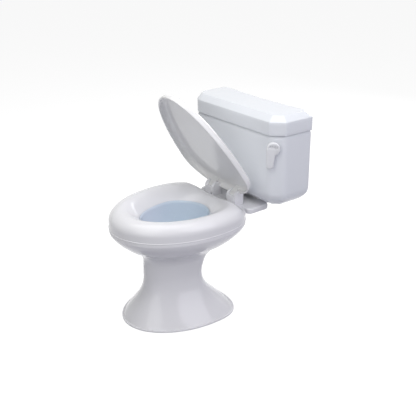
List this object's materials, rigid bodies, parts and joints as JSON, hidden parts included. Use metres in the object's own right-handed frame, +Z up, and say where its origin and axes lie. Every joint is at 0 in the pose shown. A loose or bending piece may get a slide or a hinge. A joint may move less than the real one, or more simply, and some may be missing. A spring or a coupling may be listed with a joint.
{
  "type": "potty training chair",
  "caption": "Toddler potty shaped like a small toilet: flared pedestal, rounded seat ring with a drop-in potty bowl, hinged seat lid, and a tank with a lift-off lid and a sprung flush lever.",
  "frame": {"origin": "on the floor, under the middle of the object's bounding box", "axes": "+Z up, -Y towards the front of the seat, +X towards the side that has the flush lever"},
  "size_m": [0.294, 0.409, 0.4873],
  "materials": {
    "shell_white": "glossy moulded white plastic",
    "lid_white": "glossy moulded white plastic",
    "tank_white": "glossy moulded white plastic",
    "lever_white": "glossy moulded white plastic",
    "pot_plastic": "glossy blue-white moulded plastic",
    "plain_nylon": "satin natural nylon",
    "soft_rubber": "matt soft rubber",
    "plain_steel": "bright zinc-plated steel"
  },
  "bodies": {
    "base": {"pedestal": "shell_white", "base_plate": "plain_nylon", "foot_pads": "soft_rubber", "base_plate_screws": "plain_steel", "bowl_shell": "shell_white", "pedestal_screws": "plain_steel", "seat_ring": "shell_white", "ring_screws": "plain_steel", "hinge_bracket_left": "shell_white", "hinge_bracket_right": "shell_white", "hinge_screws": "plain_steel", "hinge_pin_left": "plain_steel", "hinge_pin_right": "plain_steel", "hinge_washers": "plain_nylon", "tank_body": "tank_white", "tank_bolts": "plain_steel", "tank_gaskets": "soft_rubber", "tank_wing_nuts": "plain_nylon", "lever_bushing": "tank_white", "lever_nut": "plain_nylon", "lever_spring": "plain_steel"},
    "lid": {"seat_lid": "lid_white"},
    "bowl": {"potty_bowl": "pot_plastic"},
    "tank_cover": {"tank_lid": "tank_white"},
    "lever": {"lever_handle": "lever_white", "lever_shaft": "plain_steel", "trip_arm": "plain_nylon", "lever_retainer": "plain_steel"}
  },
  "joints": [
    {"name": "lid_hinge", "type": "hinge", "parent": "base", "child": "lid", "pos_m": [0, 0.0805, 0.249], "axis": [-1, 0, 0], "range_deg": [-56.4, 16]},
    {"name": "bowl_lift", "type": "slide", "parent": "base", "child": "bowl", "axis": [0, 0, 1], "range_m": [0, 0.03]},
    {"name": "tank_lid_lift", "type": "slide", "parent": "base", "child": "tank_cover", "axis": [0, 0, 1], "range_m": [0, 0.06]},
    {"name": "flush_lever", "type": "hinge", "parent": "base", "child": "lever", "pos_m": [0.12911, 0.10961, 0.374], "axis": [0.7071, -0.7071, 0], "range_deg": [0, 40], "stiffness_Nm_per_rad": 0.06, "springref_deg": -20.05}
  ]
}
